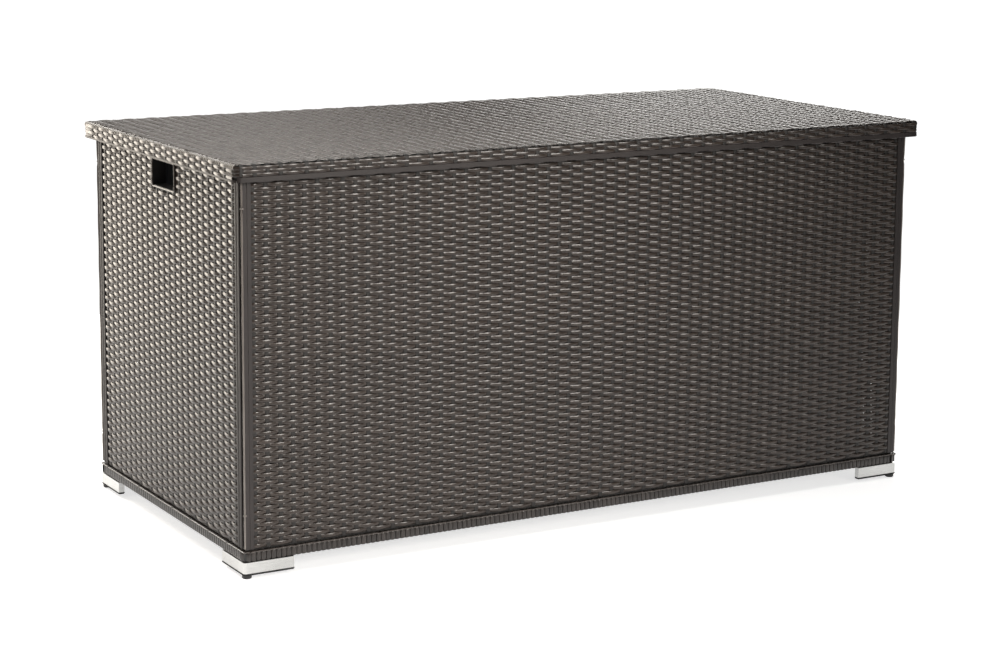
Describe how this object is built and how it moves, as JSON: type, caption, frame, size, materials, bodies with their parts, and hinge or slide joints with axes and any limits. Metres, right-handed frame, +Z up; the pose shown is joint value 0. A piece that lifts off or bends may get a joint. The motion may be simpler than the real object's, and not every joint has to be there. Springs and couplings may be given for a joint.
{
  "type": "wicker storage box",
  "caption": "Long woven resin garden storage box with an overhanging lift-up lid, hand holes in its ends, a wrapped base rail and aluminium corner feet.",
  "frame": {"origin": "on the floor under the centre of the box", "axes": "+X along the long side, the front faces -Y, +Z up"},
  "size_m": [1.542, 0.766, 0.761],
  "materials": {
    "resin_wicker": "satin woven resin strand, dark brown-grey",
    "coated_aluminium": "fine powder coat, dark brown",
    "brushed_aluminium": "brushed, satin",
    "black_plastic": "fine moulded grain",
    "rubber": "matt",
    "zinc_steel": "zinc plated",
    "strut_black": "semi-gloss black paint",
    "chrome_rod": "polished",
    "liner_fabric": "coated woven polyester",
    "floor_board": "fine grained board"
  },
  "bodies": {
    "box": {"back_frame": "coated_aluminium", "back_weave": "resin_wicker", "base_frame": "resin_wicker", "bolt_back_left_lower": "zinc_steel", "bolt_back_left_upper": "zinc_steel", "bolt_back_right_lower": "zinc_steel", "bolt_back_right_upper": "zinc_steel", "bolt_front_left_lower": "zinc_steel", "bolt_front_left_upper": "zinc_steel", "bolt_front_right_lower": "zinc_steel", "bolt_front_right_upper": "zinc_steel", "floor_panel": "floor_board", "foot_back_left": "brushed_aluminium", "foot_back_right": "brushed_aluminium", "foot_front_left": "brushed_aluminium", "foot_front_right": "brushed_aluminium", "foot_pad_back_left": "black_plastic", "foot_pad_back_right": "black_plastic", "foot_pad_front_left": "black_plastic", "foot_pad_front_right": "black_plastic", "foot_screw_back_left": "zinc_steel", "foot_screw_back_right": "zinc_steel", "foot_screw_front_left": "zinc_steel", "foot_screw_front_right": "zinc_steel", "front_frame": "coated_aluminium", "front_weave": "resin_wicker", "left_bumper": "rubber", "left_frame": "coated_aluminium", "left_hand_hole_trim": "resin_wicker", "left_hinge_box_leaf": "zinc_steel", "left_hinge_pin": "zinc_steel", "left_strut_box_bracket": "zinc_steel", "left_weave": "resin_wicker", "liner_back": "liner_fabric", "liner_floor": "liner_fabric", "liner_front": "liner_fabric", "liner_left": "liner_fabric", "liner_right": "liner_fabric", "right_bumper": "rubber", "right_frame": "coated_aluminium", "right_hand_hole_trim": "resin_wicker", "right_hinge_box_leaf": "zinc_steel", "right_hinge_pin": "zinc_steel", "right_strut_box_bracket": "zinc_steel", "right_weave": "resin_wicker"},
    "lid": {"lid_frame": "coated_aluminium", "lid_rim": "coated_aluminium", "lid_weave": "resin_wicker", "left_hinge_lid_leaf": "zinc_steel", "left_strut_lid_bracket": "zinc_steel", "right_hinge_lid_leaf": "zinc_steel", "right_strut_lid_bracket": "zinc_steel"},
    "left_strut_lower": {"left_strut_cylinder": "strut_black"},
    "left_strut_upper": {"left_strut_rod": "chrome_rod"},
    "right_strut_lower": {"right_strut_cylinder": "strut_black"},
    "right_strut_upper": {"right_strut_rod": "chrome_rod"},
    "glide_front_left": {"glide_front_left": "black_plastic"},
    "glide_front_right": {"glide_front_right": "black_plastic"},
    "glide_back_left": {"glide_back_left": "black_plastic"},
    "glide_back_right": {"glide_back_right": "black_plastic"}
  },
  "joints": [
    {"name": "lid_hinge", "type": "hinge", "parent": "box", "child": "lid", "pos_m": [0, 0.3725, 0.7235], "axis": [-1, 0, 0], "range_deg": [0, 75]},
    {"name": "left_strut_turn", "type": "hinge", "parent": "box", "child": "left_strut_lower", "pos_m": [-0.7, 0.296, 0.412], "axis": [-1, 0, 0], "range_deg": [0, 12]},
    {"name": "left_strut_slide", "type": "slide", "parent": "left_strut_lower", "child": "left_strut_upper", "axis": [0, -0.1134, 0.9936], "range_m": [0, 0.118]},
    {"name": "right_strut_turn", "type": "hinge", "parent": "box", "child": "right_strut_lower", "pos_m": [0.7, 0.296, 0.412], "axis": [-1, 0, 0], "range_deg": [0, 12]},
    {"name": "right_strut_slide", "type": "slide", "parent": "right_strut_lower", "child": "right_strut_upper", "axis": [0, -0.1134, 0.9936], "range_m": [0, 0.118]},
    {"name": "glide_front_left_turn", "type": "hinge", "parent": "box", "child": "glide_front_left", "pos_m": [-0.7425, -0.3545, 0.004], "axis": [0, 0, 1], "continuous": true},
    {"name": "glide_front_right_turn", "type": "hinge", "parent": "box", "child": "glide_front_right", "pos_m": [0.7425, -0.3545, 0.004], "axis": [0, 0, 1], "continuous": true},
    {"name": "glide_back_left_turn", "type": "hinge", "parent": "box", "child": "glide_back_left", "pos_m": [-0.7425, 0.3545, 0.004], "axis": [0, 0, 1], "continuous": true},
    {"name": "glide_back_right_turn", "type": "hinge", "parent": "box", "child": "glide_back_right", "pos_m": [0.7425, 0.3545, 0.004], "axis": [0, 0, 1], "continuous": true}
  ],
  "couplings": [
    {"joint": "left_strut_turn", "follows": "lid_hinge", "ratio": 0.15085},
    {"joint": "left_strut_slide", "follows": "lid_hinge", "m_per_rad": 0.08882},
    {"joint": "right_strut_turn", "follows": "lid_hinge", "ratio": 0.15085},
    {"joint": "right_strut_slide", "follows": "lid_hinge", "m_per_rad": 0.08882}
  ]
}
